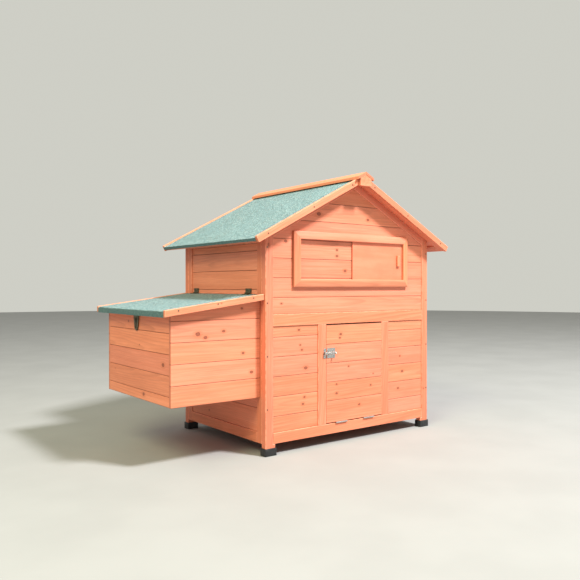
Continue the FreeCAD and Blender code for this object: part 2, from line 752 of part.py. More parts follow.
def make_door():
    face = ("YZ", front_face, 1)
    joints = ["door_low"] + DOOR_JOINTS + ["door_top"]
    node("door_boards", boarding("door", face, joints, "door_left", "door_right - door_left", "door_thick"))
    batten = ("door_batten", "door_thick", "door_top - door_low - 2 * door_batten_short")
    places = ("door_left + door_batten_in", "door_right - door_batten_in - door_batten")
    node("door_battens", [block("door_batten_%d" % k, batten,
                                (where, "%s + door_thick" % front_face, "door_low + door_batten_short"))
                          for k, where in enumerate(places)])
    outer, middle = knuckle_spans("door_hinge")
    rail_leaves = []
    door_leaves = []
    pins = []
    for k, sign in enumerate((-1, 1)):
        across = "(door_left + door_right) / 2 + (%d) * door_hinge_apart" % sign
        corner = (across, "door_hinge_y", "door_hinge_height")
        rail_leaves.append(hinge_leaf("rail_leaf_%d" % k, "door_hinge", outer, "knuckle", "rail_leaf",
                                      "-leaf_gap - leaf_thick", "leaf_thick", corner))
        door_leaves.append(hinge_leaf("door_leaf_%d" % k, "door_hinge", middle, "knuckle", "door_leaf",
                                      "leaf_gap", "leaf_thick", corner))
        pins.append(rod("door_pin_%d" % k, "hinge_pin", "door_hinge",
                        (across + " - door_hinge / 2",) + corner[1:], "X"))
    node("door_hinge_rail_leaves", rail_leaves)
    node("door_hinge_leaves", door_leaves)
    make_bolt()
    return pins


def make_bolt():
    """A barrel bolt on the door's left edge, with its keeper on the stile."""
    axis_y = "%s - bolt_out" % front_face
    plate_y = "%s - bolt_plate_thick" % front_face
    plate_low = "bolt_height - bolt_plate_high / 2"
    plate = block("bolt_sheet", ("bolt_plate", "bolt_plate_thick", "bolt_plate_high"),
                  ("door_left + 2.5", plate_y, plate_low))
    barrel = rod("bolt_tube", "bolt_out - 0.8", "bolt_barrel",
                 ("door_left + 4", axis_y, "bolt_height"), "X")
    bore = rod("bolt_bore", "bolt_radius + 0.1", "60", ("door_left - 5", axis_y, "bolt_height"), "X")
    slot = block("bolt_slot", ("bolt_travel + 7", "12", "bolt_slot_high"),
                 ("door_left + bolt_slot_in", "(%s) - 12" % axis_y, "bolt_height - bolt_slot_high / 2"))
    housing = cut("bolt_housing", cut("bolt_body", fuse("bolt_mass", [plate, barrel]), bore), slot)
    node("bolt_barrel_plate", [housing])
    shaft = rod("bolt_shaft", "bolt_radius", "bolt_length", ("door_left - 0.3", axis_y, "bolt_height"), "X")
    stem_x = "door_left + bolt_slot_in + bolt_travel + 4"
    stem = rod("bolt_arm", "bolt_stem", "12", (stem_x, "(%s) - 12" % axis_y, "bolt_height"), "Y")
    knob = doc.addObject("Part::Sphere", "bolt_knob")
    bind(knob, "Radius", "bolt_ball")
    place(knob, (stem_x, "(%s) - 13" % axis_y, "bolt_height"))
    node("bolt_rod", [fuse("bolt_rod_solid", [shaft, stem, knob])])
    keeper_x = "door_left - keeper_out"
    strap = block("keeper_sheet", ("keeper_width", "bolt_plate_thick", "bolt_plate_high"),
                  (keeper_x, plate_y, plate_low))
    ring = rod("keeper_ring", "bolt_out - 0.2", "keeper_width", (keeper_x, axis_y, "bolt_height"), "X")
    hole = rod("keeper_hole", "bolt_radius + 0.7", "30", (keeper_x + " - 10", axis_y, "bolt_height"), "X")
    node("bolt_keeper", [cut("keeper", fuse("keeper_mass", [strap, ring]), hole)])


def lid_turn():
    """The rotation of a leaf that lies on or under the sloped lid and points outwards."""
    slope = size("lid_slope")
    return turned((-1, 0, -slope), (-slope, 0, 1))


def make_lid_hinges():
    """Two hinges: one leaf upright on the wall boards, the other on the lid's felt."""
    outer, middle = knuckle_spans("lid_hinge")
    axis_x = "-(%s) + board_recess - lid_knuckle - knuckle_gap" % side_face
    axis_z = "lid_top + lid_knuckle + knuckle_gap"
    wall_turn = turned((0, 0, 1), (-1, 0, 0))
    walls = []
    lids = []
    pins = []
    for k, sign in enumerate((-1, 1)):
        middle_y = "(%d) * lid_hinge_apart + lid_hinge_shift" % sign
        corner = (axis_x, middle_y, axis_z)
        walls.append(hinge_leaf("wall_leaf_%d" % k, "lid_hinge", outer, "lid_knuckle", "lid_leaf_reach",
                                "-lid_knuckle", "lid_leaf", corner, wall_turn))
        lids.append(hinge_leaf("lid_leaf_%d" % k, "lid_hinge", middle, "lid_knuckle", "lid_leaf_reach",
                               "-lid_knuckle", "lid_leaf", corner, lid_turn()))
        pins.append(rod("lid_pin_%d" % k, "hinge_pin", "lid_hinge",
                        (axis_x, middle_y + " - lid_hinge / 2", axis_z), "Y"))
    node("lid_hinge_wall_leaves", walls)
    node("lid_hinge_leaves", lids)
    return pins


def make_hasp():
    """A leaf under the lid's edge batten, a hanging strap with a long slot, and a low staple."""
    outer, middle = knuckle_spans("hasp_width")
    axis_x = "-(house_width / 2 + hasp_reach)"
    corner = (axis_x, "0", "hasp_height")
    pin_start = (axis_x, "-hasp_width / 2", "hasp_height")
    fixed = hinge_leaf("hasp_fixed", "hasp_width", outer, "lid_knuckle", "24",
                       "lid_knuckle - lid_leaf", "lid_leaf", corner, lid_turn())
    node("hasp_leaf", [fixed, rod("hasp_pin", "hinge_pin", "hasp_width", pin_start, "Y")])
    plate_x = "(%s) + lid_knuckle - lid_leaf" % axis_x
    plate = prism("strap_plate", "YZ", strap_outline(), plate_x, "lid_leaf")
    first, last = middle[0]
    span = "(%s) - (%s)" % (last, first)
    eye = rod("strap_eye", "lid_knuckle", span, (axis_x, first, "hasp_height"), "Y")
    tab = block("strap_tab", ("lid_leaf", span, "lid_knuckle + 1"),
                (plate_x, first, "hasp_height - lid_knuckle - 1"))
    bore = rod("strap_bore", "hinge_pin + pin_clear", "hasp_width", pin_start, "Y")
    slot = block("strap_slot", ("lid_leaf + 4", "6", "40"),
                 ("(%s) - 2" % plate_x, "-3", "hasp_height - 49.5"))
    solid = cut("strap_bored", fuse("strap_mass", [plate, eye, tab]), bore)
    node("hasp_strap", [cut("strap", solid, slot)])
    make_staple()


def strap_outline():
    """The strap's outline, seen from its face: wide at the hinge and tapered to a blunt tip."""
    half = "hasp_width / 2 - 1"
    tip = "hasp_tip / 2"
    top = "hasp_height - lid_knuckle - 0.4"
    low = "hasp_height - hasp_length"
    right = [(half, top), (tip, low + " + 12"), ("%s - 4" % tip, low + " + 4"), ("%s - 11" % tip, low)]
    left = [(mirrored(across), up) for across, up in reversed(right)]
    return right + left


def make_staple():
    """The staple on the nest's face, which stands out through the strap's slot."""
    foot = block("staple_plate", ("1.3", "staple_width", "staple_high"),
                 ("(%s) - 1.3" % NEST_LEFT, "-staple_width / 2", "hasp_height - 28"))
    loop = block("staple_bar", ("staple_out", "2.4", "9"),
                 ("(%s) - staple_out" % NEST_LEFT, "-1.2", "hasp_height - 21.5"))
    eyelet = block("staple_eye", ("4", "6", "4"), ("(%s) - 7" % NEST_LEFT, "-3", "hasp_height - 19"))
    node("hasp_staple", [cut("staple", fuse("staple_mass", [foot, loop]), eyelet)])


def screw(name, where, sign):
    """A screw with its pan head on a front (1) or back (-1) surface and its shank in the wood."""
    across, surface, height = where
    head_start = "(%s) - screw_head_thick" % surface if sign > 0 else surface
    shank_start = surface if sign > 0 else "(%s) - screw_length" % surface
    head = rod(name + "_head", "screw_head", "screw_head_thick", (across, head_start, height), "Y")
    shank = rod(name + "_shank", "screw_shank", "screw_length", (across, shank_start, height), "Y")
    return fuse(name, [head, shank])


POST_SCREWS = (167, 357, 548, 748)
BARGE_SCREWS = (60, 250, 455)
TRIM_SCREWS = (47, 192, 341)


def make_screws():
    """Screws up the posts, along the barge boards and along the lid's end trims."""
    frame = []
    for side in (-1, 1):
        across = "(%d) * (house_width / 2 - 8)" % side
        for k, height in enumerate(POST_SCREWS):
            for face, sign in ((front_face, 1), (back_face, -1)):
                name = "post_screw_%d_%d_%d" % (side + 1, sign + 1, k)
                frame.append(screw(name, (across, face, str(height)), sign))
        for k, reach in enumerate(BARGE_SCREWS):
            across, height = roof_line(side, str(reach), "barge_drop / 2")
            for face, sign in (("roof_front", 1), ("roof_back", -1)):
                name = "barge_screw_%d_%d_%d" % (side + 1, sign + 1, k)
                frame.append(screw(name, (across, face, height), sign))
    node("frame_screws", frame)
    trims = []
    for k, reach in enumerate(TRIM_SCREWS):
        across, height = lid_line(str(reach), "trim_height / 2 - trim_proud - 3")
        for face, sign in (("-lid_half", 1), ("lid_half", -1)):
            trims.append(screw("trim_screw_%d_%d" % (sign + 1, k), (across, face, height), sign))
    node("lid_screws", trims)


def check_and_write():
    doc.recompute()
    faults = ["%s: %s" % (item.Name, item.State) for item in doc.Objects
              if "Invalid" in item.State or "Error" in item.State]
    for item in nodes:
        if item.Shape.isNull() or not item.Shape.isValid() or not item.Shape.Solids:
            faults.append(item.Label + ": bad shape")
    if faults:
        raise RuntimeError("\n".join(faults))
    os.makedirs("parts", exist_ok=True)
    whole = FreeCAD.BoundBox()
    for item in nodes:
        item.Shape.exportStep("parts/%s.step" % item.Label)
        whole.add(item.Shape.BoundBox)
    print("%d nodes, %d solids" % (len(nodes), sum(len(item.Shape.Solids) for item in nodes)))
    print("X %.2f %.2f  Y %.2f %.2f  Z %.2f %.2f" % (whole.XMin, whole.XMax, whole.YMin, whole.YMax,
                                                   whole.ZMin, whole.ZMax))


make_posts()
make_front()
make_back()
make_sides()
make_inside()
make_window()
make_nest()
make_lid()
make_hasp()
make_roof()
node("hinge_pins", make_lid_hinges() + make_door())
make_screws()
check_and_write()
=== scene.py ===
"""Looks of the chicken coop: stained fir, mineral felt, small hardware, floor, light, camera.

Metres, +Z up, the CAD's frame: the ground is at Z = 0 and the front wall faces -Y.
"""
import json
import math
import random

import bmesh
import bpy
from mathutils import Matrix, Vector, noise


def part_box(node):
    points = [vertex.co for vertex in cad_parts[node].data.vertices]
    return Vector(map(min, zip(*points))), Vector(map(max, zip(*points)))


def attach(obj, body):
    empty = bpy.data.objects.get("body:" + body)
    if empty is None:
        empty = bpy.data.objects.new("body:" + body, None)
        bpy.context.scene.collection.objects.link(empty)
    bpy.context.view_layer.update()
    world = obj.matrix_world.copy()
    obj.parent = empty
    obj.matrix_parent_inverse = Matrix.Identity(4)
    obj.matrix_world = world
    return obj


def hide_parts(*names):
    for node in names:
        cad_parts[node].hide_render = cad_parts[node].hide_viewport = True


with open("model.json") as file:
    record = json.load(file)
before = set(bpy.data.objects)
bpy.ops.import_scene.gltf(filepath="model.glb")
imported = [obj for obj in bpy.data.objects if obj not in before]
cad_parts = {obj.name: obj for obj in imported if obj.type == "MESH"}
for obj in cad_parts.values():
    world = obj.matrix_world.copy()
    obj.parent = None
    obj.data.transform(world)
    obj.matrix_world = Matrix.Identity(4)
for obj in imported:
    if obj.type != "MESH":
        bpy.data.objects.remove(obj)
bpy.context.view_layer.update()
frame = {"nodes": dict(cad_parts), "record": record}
NODES = frame["nodes"]
BODY_OF = {node: body for body, nodes in frame["record"]["behaviour"]["bodies"].items()
           for node in nodes}
SLOT_OF = {node: piece.data.materials[0].name for node, piece in NODES.items()}
X_AXIS = Vector((1, 0, 0))
Y_AXIS = Vector((0, 1, 0))
Z_AXIS = Vector((0, 0, 1))
FAR = Vector((9, 9, 0.001))     # where a piece's unused knots lie
NO_JOINTS = 9.0                 # half a width so large that no stain pools beside a joint
dice = random.Random(7)


# ---------------------------------------------------------------- materials

class Graph:
    """A material and short calls for its nodes."""

    def __init__(self, name, rough=0.6, metal=0.0):
        self.material = bpy.data.materials.new(name)
        self.material.use_nodes = True
        self.tree = self.material.node_tree
        self.shader = self.tree.nodes["Principled BSDF"]
        self.shader.inputs["Roughness"].default_value = rough
        self.shader.inputs["Metallic"].default_value = metal

    def feed(self, socket, value):
        if isinstance(value, bpy.types.NodeSocket):
            self.tree.links.new(value, socket)
        else:
            socket.default_value = value

    def node(self, kind, values):
        made = self.tree.nodes.new("ShaderNode" + kind)
        for key, value in values.items():
            self.feed(made.inputs[key], value)
        return made

    def math(self, operation, first, second=0.0, third=0.0):
        made = self.tree.nodes.new("ShaderNodeMath")
        made.operation = operation
        for socket, value in zip(made.inputs, (first, second, third)):
            self.feed(socket, value)
        return made.outputs[0]

    def times(self, first, second):
        return self.math("MULTIPLY", first, second)

    def plus(self, first, second):
        return self.math("ADD", first, second)

    def minus(self, first, second):
        return self.math("SUBTRACT", first, second)

    def spread(self, share, width, least):
        """share, from 0 to 1, as a number from least to least + width."""
        return self.math("MULTIPLY_ADD", share, width, least)

    def distance(self, first, second):
        squares = self.plus(self.times(first, first), self.times(second, second))
        return self.math("SQRT", squares)

    def vector(self, operation, first, second=(0, 0, 0)):
        made = self.tree.nodes.new("ShaderNodeVectorMath")
        made.operation = operation
        self.feed(made.inputs[0], first)
        self.feed(made.inputs[1], second)
        return made.outputs[0]

    def attribute(self, name):
        made = self.tree.nodes.new("ShaderNodeAttribute")
        made.attribute_name = name
        return made.outputs["Vector"]

    def parts(self, vector):
        return self.node("SeparateXYZ", {0: vector}).outputs

    def join(self, x, y, z):
        return self.node("CombineXYZ", {0: x, 1: y, 2: z}).outputs[0]

    def place(self):
        return self.tree.nodes.new("ShaderNodeTexCoord").outputs["Object"]

    def noise(self, vector, scale=1.0, detail=2.0, rough=0.5):
        values = {"Vector": vector, "Scale": scale, "Detail": detail, "Roughness": rough}
        return self.node("TexNoise", values).outputs["Fac"]

    def cells(self, vector, scale):
        return self.node("TexVoronoi", {"Vector": vector, "Scale": scale}).outputs

    def ramp(self, value, stops):
        made = self.node("ValToRGB", {0: value})
        colours = made.color_ramp.elements
        while len(colours) < len(stops):
            colours.new(0.5)
        for element, (position, colour) in zip(colours, stops):
            element.position = position
            element.color = tuple(colour) + (1,)
        return made.outputs["Color"]

    def fade(self, value, low, high, start=0.0, end=1.0):
        made = self.node("MapRange", {"Value": value, "From Min": low, "From Max": high,
                                      "To Min": start, "To Max": end})
        made.interpolation_type = "SMOOTHSTEP"
        return made.outputs[0]

    def mix(self, factor, first, second, blend="MIX"):
        made = self.tree.nodes.new("ShaderNodeMix")
        made.data_type = "RGBA"
        made.blend_type = blend
        for index, value in ((0, factor), (6, first), (7, second)):
            if isinstance(value, tuple):
                value = value + (1,)
            self.feed(made.inputs[index], value)
        return made.outputs[2]

    def finish(self, colour, rough=None, bump=None, distance=0.0003, strength=1.0):
        self.feed(self.shader.inputs["Base Color"], colour)
        if rough is not None:
            self.feed(self.shader.inputs["Roughness"], rough)
        if bump is not None:
            values = {"Height": bump, "Distance": distance, "Strength": strength}
            made = self.node("Bump", values)
            self.feed(self.shader.inputs["Normal"], made.outputs[0])
        return self.material


def dimmed(colour, share, lift=0.0):
    """colour times share plus lift, kept below white."""
    return tuple(min(1.0, c * share + lift) for c in colour)


KNOTS_A_PIECE = 3
KNOT_SLENDER = 0.72     # a knot's width over its length along the grain
KNOT_REACH = -0.22      # how fast the grain's bow dies away from a knot
RAGGED_SCALE = 160.0    # of a knot's uneven outline
RAGGED_DEPTH = 0.5      # in knot radii

# Growth rings, in metres. A piece's three tone numbers, each from 0 to 1, pick from the spreads.
TONE_SHIFT = 23.0       # moves each piece to a place of its own in the noise
PITH_ASIDE = 0.09       # the spread of the pith's place across the face
PITH_SWAY = 0.035       # how far it wanders across the face along a piece
PITH_LEAN = 0.07        # the spread of its slope into the piece
PITH_DEPTH = (0.06, 0.012)          # the spread of its depth, and the least depth
RINGS_A_METRE = (80.0, 150.0)       # the spread of the rings' number, and the least number
LATE_WOOD = 2.4         # the higher, the thinner the dark part of a ring
KNOT_HALO = (0.55, 0.135, 0.05)
KNOT_HEART = ((0.26, 0.068, 0.034), (0.37, 0.102, 0.048))
KNOT_RIM = (0.19, 0.052, 0.029)
KNOT_RINGS = 15.0       # radians of ring pattern in a knot radius
JOINT_STAIN = (0.0006, 0.0028)      # from the joint: full stain up to the first, none past the last
PLY_WAVE = 3600.0       # radians a metre: a ply every 1.7 mm


def knot_field(graph, grain):
    """The distance to the nearest knot in knot radii, and the across coordinate bowed round it."""
    along, across = graph.parts(grain)[:2]
    bowed = across
    nearest = None
    ragged = graph.times(graph.noise(grain, RAGGED_SCALE), RAGGED_DEPTH)
    ragged = graph.minus(ragged, RAGGED_DEPTH / 2)
    for k in range(KNOTS_A_PIECE):
        at_along, at_across, radius = graph.parts(graph.attribute("knot_%d" % k))
        d_along = graph.times(graph.minus(along, at_along), KNOT_SLENDER)
        d_across = graph.minus(across, at_across)
        away = graph.math("DIVIDE", graph.distance(d_along, d_across), radius)
        near = graph.math("EXPONENT", graph.times(graph.times(away, away), KNOT_REACH))
        bowed = graph.minus(bowed, graph.times(d_across, near))
        away = graph.plus(away, ragged)
        nearest = away if nearest is None else graph.math("MINIMUM", nearest, away)
    return nearest, bowed


def make_fir(name, pale, deep, knotty=1.0):
    """Stained fir. Each piece has its grain coordinates, tone numbers and knots as attributes."""
    graph = Graph(name, 0.55)
    grain = graph.attribute("grain")
    tone = graph.attribute("tone")
    along, across, out = graph.parts(grain)
    t_one, t_two, t_three = graph.parts(tone)
    worn, end, half = graph.parts(graph.attribute("face"))
    away, bowed = knot_field(graph, grain)
    shift = graph.vector("SCALE", tone)
    shift.node.inputs["Scale"].default_value = TONE_SHIFT

    def grained(u, v, w, detail=2.0, rough=0.5):
        """Noise stretched along the grain, which bows round the knots."""
        scaled = graph.join(graph.times(along, u), graph.times(bowed, v), graph.times(out, w))
        return graph.noise(graph.vector("ADD", scaled, shift), 1.0, detail, rough)

    # Growth rings about a pith that lies below the face and leans along the piece, so that they
    # show on the face as long arches.
    side = graph.spread(graph.minus(t_one, 0.5), PITH_ASIDE, bowed)
    side = graph.spread(graph.minus(grained(2.1, 7.0, 7.0), 0.5), PITH_SWAY, side)
    lean = graph.times(along, graph.times(graph.minus(t_three, 0.5), PITH_LEAN))
    deepness = graph.plus(graph.spread(t_two, *PITH_DEPTH), graph.plus(out, lean))
    count = graph.spread(t_three, *RINGS_A_METRE)
    phase = graph.math("FRACT", graph.times(graph.distance(side, deepness), count))
    late = graph.times(graph.math("POWER", phase, LATE_WOOD), graph.fade(phase, 0.9, 1.0, 1.0, 0.0))
    late = graph.times(late, graph.fade(grained(3.0, 14.0, 14.0, 1.0), 0.35, 0.65, 0.25, 1.0))
    streak = grained(2.4, 120.0, 60.0, 3.0, 0.6)
    fibre = grained(16.0, 800.0, 800.0)
    cloud = grained(5.0, 16.0, 16.0)

    colour = graph.mix(graph.fade(streak, 0.3, 0.72), pale, deep)
    colour = graph.mix(graph.times(late, 0.62), colour, dimmed(deep, 0.66))
    colour = graph.mix(graph.fade(cloud, 0.38, 0.7, 0.0, 0.3), colour, dimmed(deep, 0.82))
    fine = graph.fade(fibre, 0.3, 0.75, 0.90, 1.05)
    colour = graph.mix(1.0, colour, graph.join(fine, fine, fine), "MULTIPLY")

    # No two pieces took the stain alike.
    shade = graph.spread(t_one, 0.15, 0.905)
    green = graph.times(shade, graph.spread(t_two, 0.06, 0.965))
    blue = graph.times(shade, graph.spread(t_three, 0.13, 0.915))
    colour = graph.mix(1.0, colour, graph.join(shade, green, blue), "MULTIPLY")

    # Knots: a red-brown halo, a dark rim and a heart with rings of its own.
    colour = graph.mix(graph.fade(away, 1.0, 3.0, 0.42 * knotty, 0.0), colour, KNOT_HALO)
    rings = graph.math("SINE", graph.times(away, KNOT_RINGS))
    heart = graph.mix(graph.fade(rings, -1.0, 1.0), *KNOT_HEART)
    heart = graph.mix(graph.fade(away, 0.66, 0.9), heart, KNOT_RIM)
    colour = graph.mix(graph.fade(away, 0.9, 1.12, knotty, 0.0), colour, heart)

    # Stain pools beside the joints, wears thin on the sharp edges and soaks into end grain.
    # The window mouldings' outer edges get painted shade here, darker than end grain.
    gap = graph.minus(half, graph.math("ABSOLUTE", across))
    colour = graph.mix(graph.fade(gap, *JOINT_STAIN, 0.76, 0.0), colour, dimmed(deep, 0.32))
    rubbed = graph.fade(graph.noise(graph.place(), 55.0, 3.0), 0.35, 0.6, 0.1, 0.75)
    colour = graph.mix(graph.times(worn, rubbed), colour, dimmed(pale, 1.28, 0.05))
    # End grain soaks up stain; a mark above 1 is painted shade on the window mouldings' outer
    # edges.
    colour = graph.mix(graph.times(end, 0.55), colour, dimmed(deep, 0.55))
    height = graph.minus(graph.times(fibre, 0.45), graph.times(late, 0.5))
    height = graph.minus(height, graph.fade(away, 0.85, 1.15, 0.5, 0.0))
    return graph.finish(colour, graph.fade(streak, 0.2, 0.8, 0.66, 0.5), height, 0.0003, 0.55)


def make_plywood(name, pale, deep):
    """Plywood stained like the fir: a calm face, and ply lines where an edge shows."""
    graph = Graph(name, 0.5)
    grain = graph.attribute("grain")
    out = graph.parts(grain)[2]
    worn, end = graph.parts(graph.attribute("face"))[:2]
    shift = graph.vector("MULTIPLY", graph.attribute("tone"), (9.0, 9.0, 9.0))
    stretched = graph.vector("MULTIPLY", grain, (5.0, 45.0, 45.0))
    streak = graph.noise(graph.vector("ADD", stretched, shift), 1.0, 4.0, 0.55)
    pores = graph.noise(graph.vector("MULTIPLY", grain, (90.0, 1500.0, 1500.0)), 1.0, 1.0)
    cloud = graph.noise(grain, 14.0)
    plies = graph.math("SINE", graph.times(out, PLY_WAVE))
    colour = graph.mix(graph.fade(streak, 0.3, 0.72), pale, deep)
    colour = graph.mix(graph.fade(cloud, 0.4, 0.7, 0.0, 0.35), colour, dimmed(deep, 0.85))
    colour = graph.mix(graph.fade(pores, 0.62, 0.8, 0.0, 0.35), colour, dimmed(deep, 0.5))
    plies = graph.times(graph.fade(plies, -0.2, 0.6, 0.0, 0.5), end)
    colour = graph.mix(plies, colour, dimmed(deep, 0.4))
    colour = graph.mix(graph.times(worn, 0.35), colour, dimmed(pale, 1.2))
    height = graph.minus(streak, graph.times(pores, 0.4))
    return graph.finish(colour, graph.fade(streak, 0.2, 0.8, 0.58, 0.44), height, 0.0002, 0.35)


# Roof granules: where each tone starts in the random pick, and the tone.
GRANULE_TONES = ((0.0, (0.038, 0.078, 0.086)), (0.2, (0.112, 0.195, 0.21)),
                 (0.5, (0.158, 0.262, 0.28)), (0.82, (0.245, 0.36, 0.38)),
                 (1.0, (0.40, 0.49, 0.51)))


def make_felt():
    """Roofing felt: crushed slate granules of several greens bedded in bitumen."""
    graph = Graph("mineral_felt", 0.9)
    place = graph.place()
    grit = graph.cells(place, 560.0)
    coarse = graph.cells(graph.vector("ADD", place, (0.3, 0.7, 0.1)), 250.0)
    pick = graph.parts(grit["Color"])[0]
    colour = graph.ramp(pick, GRANULE_TONES)
    colour.node.color_ramp.interpolation = "CONSTANT"
    odd = graph.parts(coarse["Color"])
    colour = graph.mix(graph.fade(odd[1], 0.8, 0.84, 0.0, 0.75), colour, (0.06, 0.11, 0.11))
    colour = graph.mix(graph.fade(odd[2], 0.93, 0.95, 0.0, 0.55), colour, (0.36, 0.23, 0.19))
    colour = graph.mix(graph.fade(odd[0], 0.86, 0.9, 0.0, 0.6), colour, (0.42, 0.55, 0.54))
    drift = graph.noise(place, 7.0, 4.0, 0.6)
    colour = graph.mix(graph.fade(drift, 0.35, 0.7, 0.0, 0.35), colour, (0.168, 0.272, 0.296))
    bald = graph.fade(graph.noise(place, 38.0, 3.0, 0.7), 0.62, 0.72, 0.0, 0.55)
    colour = graph.mix(bald, colour, (0.11, 0.19, 0.18))
    flecks = graph.noise(place, 170.0, 2.0, 0.6)
    colour = graph.mix(graph.fade(flecks, 0.54, 0.66, 0.0, 0.6), colour, (0.085, 0.155, 0.16))
    colour = graph.mix(graph.fade(flecks, 0.46, 0.34, 0.0, 0.5), colour, (0.42, 0.57, 0.56))
    turned_down = graph.parts(graph.attribute("face"))[0]
    colour = graph.mix(graph.times(turned_down, 0.72), colour, (0.045, 0.105, 0.11))
    height = graph.times(grit["Distance"], -1.0)
    return graph.finish(colour, graph.fade(pick, 0.0, 1.0, 0.95, 0.78), height, 0.0011, 0.7)


def make_metal(name, bright, dull, rough, scale=120.0):
    """Plated steel with cloudy plating, small stains and fine scratches."""
    graph = Graph(name, rough, 1.0)
    place = graph.place()
    cloud = graph.noise(place, scale, 4.0, 0.6)
    stain = graph.noise(place, scale * 3.2, 3.0, 0.7)
    scratch = graph.noise(graph.vector("MULTIPLY", place, (2400.0, 160.0, 160.0)))
    colour = graph.mix(graph.fade(cloud, 0.35, 0.65), bright, dull)
    colour = graph.mix(graph.fade(stain, 0.6, 0.75, 0.0, 0.6), colour, dimmed(dull, 0.35))
    polish = graph.plus(graph.fade(cloud, 0.3, 0.7, rough - 0.08, rough + 0.12),
                        graph.fade(stain, 0.55, 0.75, 0.0, 0.2))
    height = graph.plus(graph.times(scratch, 0.4), graph.times(stain, 0.4))
    return graph.finish(colour, polish, height, 0.0001, 0.4)


def make_black_plastic():
    """Moulded black plastic, finely pitted, dusty in patches."""
    graph = Graph("black_plastic", 0.45)
    place = graph.place()
    dust = graph.noise(place, 60.0, 4.0, 0.65)
    pits = graph.noise(place, 1400.0, 2.0)
    dusty = graph.fade(dust, 0.45, 0.75, 0.0, 0.5)
    colour = graph.mix(dusty, (0.012, 0.013, 0.015), (0.07, 0.068, 0.062))
    return graph.finish(colour, graph.fade(dust, 0.35, 0.7, 0.38, 0.62), pits, 0.0002, 0.3)


PALE = (0.85, 0.290, 0.170)
DEEP = (0.76, 0.228, 0.118)
BOARD = make_fir("board_fir", PALE, DEEP)
FRAME_WOOD = make_fir("frame_fir", (0.83, 0.262, 0.150), (0.73, 0.203, 0.102), 0.8)
TRIM = make_fir("trim_fir", (0.86, 0.298, 0.166), (0.76, 0.232, 0.115), 0.7)
PLYWOOD = make_plywood("stained_plywood", (0.84, 0.25, 0.142), (0.77, 0.212, 0.114))
FELT = make_felt()
ZINC = make_metal("zinc_plate", (0.68, 0.68, 0.66), (0.46, 0.47, 0.47), 0.3)
SCREW_STEEL = make_metal("screw_steel", (0.30, 0.24, 0.17), (0.16, 0.12, 0.085), 0.42,
                         scale=300.0)
BRONZE = make_metal("aged_bronze", (0.20, 0.17, 0.10), (0.095, 0.09, 0.06), 0.42)
WIRE = make_metal("galvanised_wire", (0.62, 0.64, 0.64), (0.40, 0.42, 0.43), 0.4)
PLASTIC = make_black_plastic()


# ---------------------------------------------------------------- shapes

SHARP = math.radians(20)    # an edge between faces at a larger angle is eased


def show(name, data):
    """A mesh, lamp or camera as an object in the scene."""
    made = bpy.data.objects.new(name, data)
    bpy.context.scene.collection.objects.link(made)
    return made


def show_shape(name, shape, material):
    """A bmesh as an object of one material."""
    mesh = bpy.data.meshes.new(name)
    shape.to_mesh(mesh)
    shape.free()
    mesh.materials.append(material)
    return show(name, mesh)


def crisp(made, degrees):
    """Shades edges sharply where the faces meet at more than this angle."""
    made.data.set_sharp_from_angle(angle=math.radians(degrees))


def extent(shape):
    """A shape's lowest and highest corner."""
    return (Vector([min(v.co[k] for v in shape.verts) for k in range(3)]),
            Vector([max(v.co[k] for v in shape.verts) for k in range(3)]))


def half_length(shape, origin, direction):
    """How far a shape reaches from its middle along a direction."""
    return max(abs((v.co - origin).dot(direction)) for v in shape.verts)


def cut(shape, place, normal, clear=False):
    """Cuts a shape along a plane and, if asked, removes what is on the normal's side."""
    bmesh.ops.bisect_plane(shape, geom=shape.verts[:] + shape.edges[:] + shape.faces[:],
                           plane_co=place, plane_no=normal, clear_outer=clear)


def standing(centre, direction):
    """The matrix that stands a shape made along +Z at centre, along a direction."""
    return Matrix.Translation(centre) @ direction.to_track_quat("Z", "Y").to_matrix().to_4x4()


# ---------------------------------------------------------------- pieces of wood

PAINTED_SHADE_MARK = 1.6      # painted shade: a face with this mark is darkened this many times as much as end grain


class Pile:
    """Collects pieces into one mesh. Each piece has its own grain frame, tone and knots."""

    def __init__(self):
        self.points = []
        self.faces = []
        self.per_point = {"grain": [], "tone": []}
        for k in range(KNOTS_A_PIECE):
            self.per_point["knot_%d" % k] = []
        self.per_face = []
        self.smooth = []

    def add(self, shape, axes, worn=(), knots=(), smooth=False, half=None, painted_shade_faces=()):
        """shape is a bmesh, axes its origin and the along, across and out directions. The worn
        faces have rubbed edges, the faces in the last argument get painted shade, darker than end
        grain, and half is the half width at which stain pools. A knot is its place and its radius."""
        origin, along, across, out = axes
        shape.verts.index_update()
        first = len(self.points)
        tone = tuple(dice.random() for _ in range(3))
        local = [Vector(((v.co - origin).dot(along), (v.co - origin).dot(across),
                         (v.co - origin).dot(out))) for v in shape.verts]
        if half is None:
            half = max(abs(p.y) for p in local)
        spots = [Vector(((place - origin).dot(along), (place - origin).dot(across), radius))
                 for place, radius in knots]
        spots = (spots + [FAR] * KNOTS_A_PIECE)[:KNOTS_A_PIECE]
        for vert, place in zip(shape.verts, local):
            self.points.append(tuple(vert.co))
            self.per_point["grain"].append(tuple(place))
            self.per_point["tone"].append(tone)
            for k, spot in enumerate(spots):
                self.per_point["knot_%d" % k].append(tuple(spot))
        worn = set(worn)
        for face in shape.faces:
            self.faces.append([first + v.index for v in face.verts])
            # Painted shade: the faces listed last are marked darker than end grain; faces across
            # the grain are end grain.
            end = PAINTED_SHADE_MARK if face in painted_shade_faces else float(abs(face.normal.dot(along)) > 0.8)
            self.per_face.append((float(face in worn), end, half))
            self.smooth.append(smooth)
        shape.free()

    def make(self, name, material):
        mesh = bpy.data.meshes.new(name)
        mesh.from_pydata(self.points, [], self.faces)
        for key, values in self.per_point.items():
            layer = mesh.attributes.new(key, "FLOAT_VECTOR", "POINT")
            layer.data.foreach_set("vector", [c for value in values for c in value])
        layer = mesh.attributes.new("face", "FLOAT_VECTOR", "FACE")
        layer.data.foreach_set("vector", [c for value in self.per_face for c in value])
        mesh.polygons.foreach_set("use_smooth", self.smooth)
        mesh.materials.append(material)
        return show(name, mesh)


